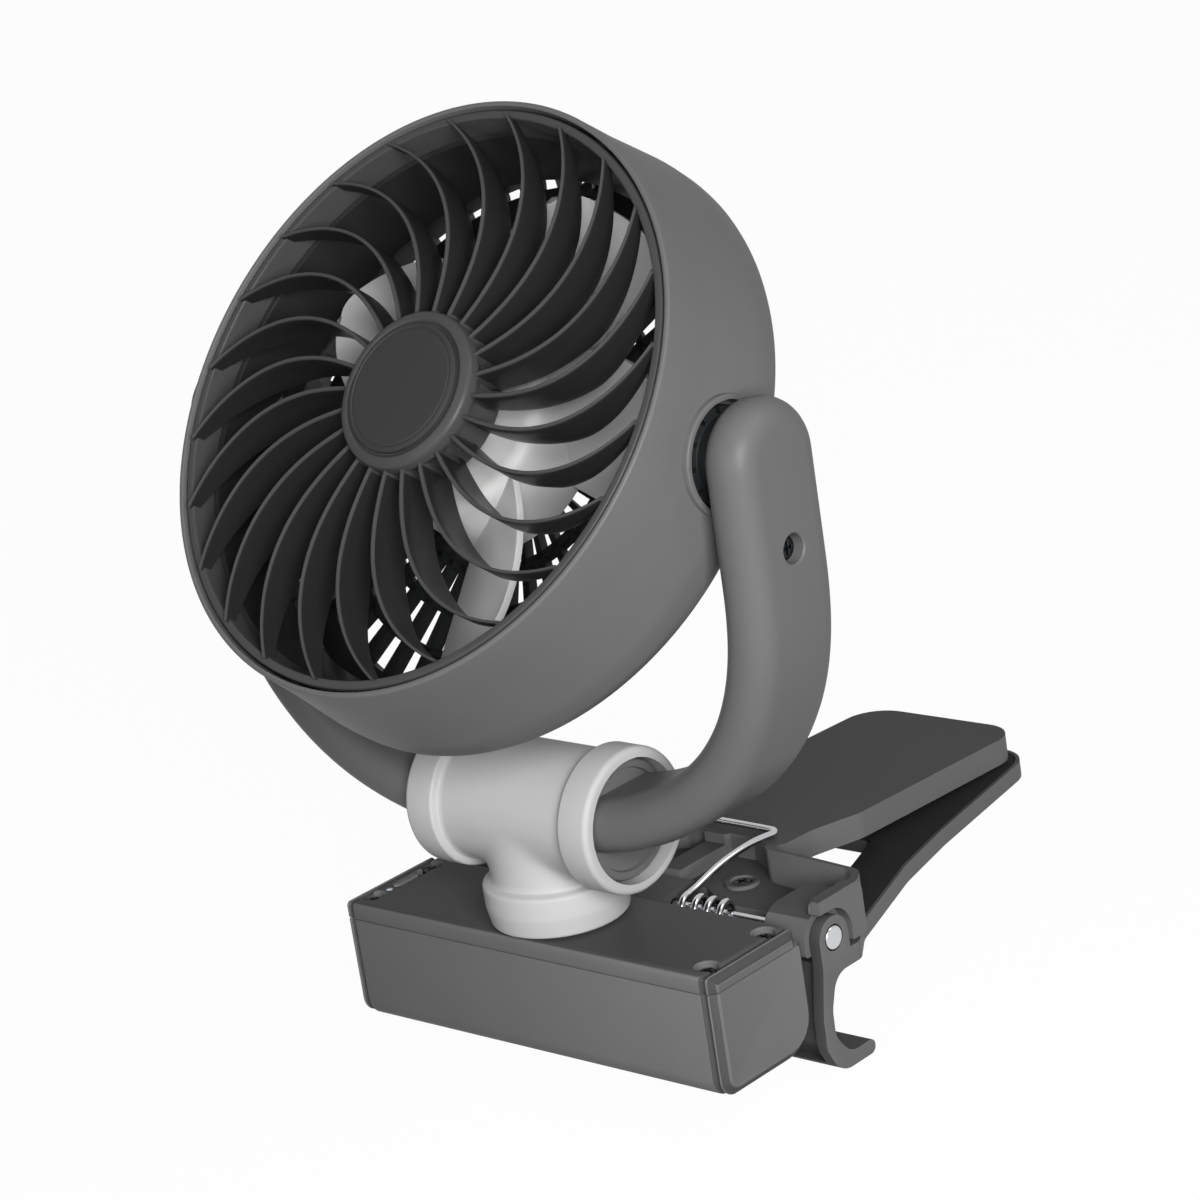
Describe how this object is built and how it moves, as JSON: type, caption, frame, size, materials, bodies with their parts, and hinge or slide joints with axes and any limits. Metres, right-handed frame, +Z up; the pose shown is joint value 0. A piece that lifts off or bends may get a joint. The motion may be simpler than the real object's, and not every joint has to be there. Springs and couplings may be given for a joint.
{
  "type": "clip fan",
  "caption": "Battery clip fan: a tilting round head on a yoke, a swivelling tee on an oblong power box, and a sprung flat-jawed clip behind it.",
  "frame": {"origin": "middle of the power box's flat underside", "axes": "+X along the box to the fan's right as seen from the front, -Y the way the fan faces, +Y towards the clip, +Z up"},
  "size_m": [0.1628, 0.1998, 0.2141],
  "materials": {
    "charcoal_plastic": "fine satin moulded ABS, charcoal",
    "black_plastic": "satin moulded ABS, near black",
    "rubber_pad": "matt soft pad",
    "white_plastic": "matt off-white moulding",
    "pale_plastic": "satin pale grey moulding",
    "bright_wire": "bright nickel-plated spring wire and rod",
    "steel": "zinc-plated steel",
    "circuit_board": "glass-fibre board with green resist",
    "cell_sleeve": null,
    "lens": "clear light pipe"
  },
  "bodies": {
    "base": {"box_shell": "charcoal_plastic", "box_lid": "charcoal_plastic", "lid_screw_1": "steel", "lid_screw_2": "steel", "lid_screw_3": "steel", "lid_screw_4": "steel", "battery_cell": "cell_sleeve", "circuit_board": "circuit_board", "power_switch": "black_plastic", "status_lens": "lens", "charge_socket": "steel", "swivel_post": "black_plastic", "lid_nut": "black_plastic", "tee_nut": "black_plastic", "upper_jaw": "charcoal_plastic", "upper_pad": "rubber_pad", "jaw_saddle": "charcoal_plastic", "jaw_screw_right": "steel", "jaw_screw_left": "steel", "saddle_screw_right": "steel", "saddle_screw_left": "steel", "pivot_rod": "bright_wire", "torsion_spring": "bright_wire"},
    "button": {"power_button": "charcoal_plastic"},
    "clip_jaw": {"lower_jaw": "charcoal_plastic", "lower_pad": "rubber_pad"},
    "tee": {"tee_fitting": "white_plastic"},
    "yoke": {"yoke_barrel": "black_plastic", "yoke_arm_right": "charcoal_plastic", "yoke_arm_left": "charcoal_plastic", "arm_screw_right": "steel", "arm_screw_left": "steel", "pivot_pin_right": "steel", "pivot_pin_left": "steel", "pivot_washer_right": "black_plastic", "pivot_washer_left": "black_plastic"},
    "head": {"head_shell": "charcoal_plastic", "front_grille": "black_plastic", "hub_cap": "charcoal_plastic", "rear_grille": "black_plastic", "grille_screw_1": "steel", "grille_screw_2": "steel", "grille_screw_3": "steel", "motor_can": "steel"},
    "rotor": {"impeller": "pale_plastic", "motor_shaft": "steel"}
  },
  "joints": [
    {"name": "tee_swivel", "type": "hinge", "parent": "base", "child": "tee", "pos_m": [0, 0, 0.0542], "axis": [0, 0, 1], "range_deg": [-150, 150]},
    {"name": "yoke_roll", "type": "hinge", "parent": "tee", "child": "yoke", "pos_m": [0, 0, 0.0542], "axis": [-1, 0, 0], "range_deg": [-30, 30]},
    {"name": "head_tilt", "type": "hinge", "parent": "yoke", "child": "head", "pos_m": [0, 0, 0.1382], "axis": [-1, 0, 0], "range_deg": [-26, 50]},
    {"name": "impeller_spin", "type": "hinge", "parent": "head", "child": "rotor", "pos_m": [0, 0, 0.1382], "axis": [0, -0.7923, 0.6101], "continuous": true},
    {"name": "clip_open", "type": "hinge", "parent": "base", "child": "clip_jaw", "pos_m": [0, 0.0268, 0.0208], "axis": [-1, 0, 0], "range_deg": [0, 10], "stiffness_Nm_per_rad": 1.2, "springref_deg": -20.05, "deforming": ["torsion_spring"]},
    {"name": "power_button_press", "type": "slide", "parent": "base", "child": "button", "axis": [0, 0, -1], "range_m": [0, 0.0005], "stiffness_N_per_m": 300}
  ]
}
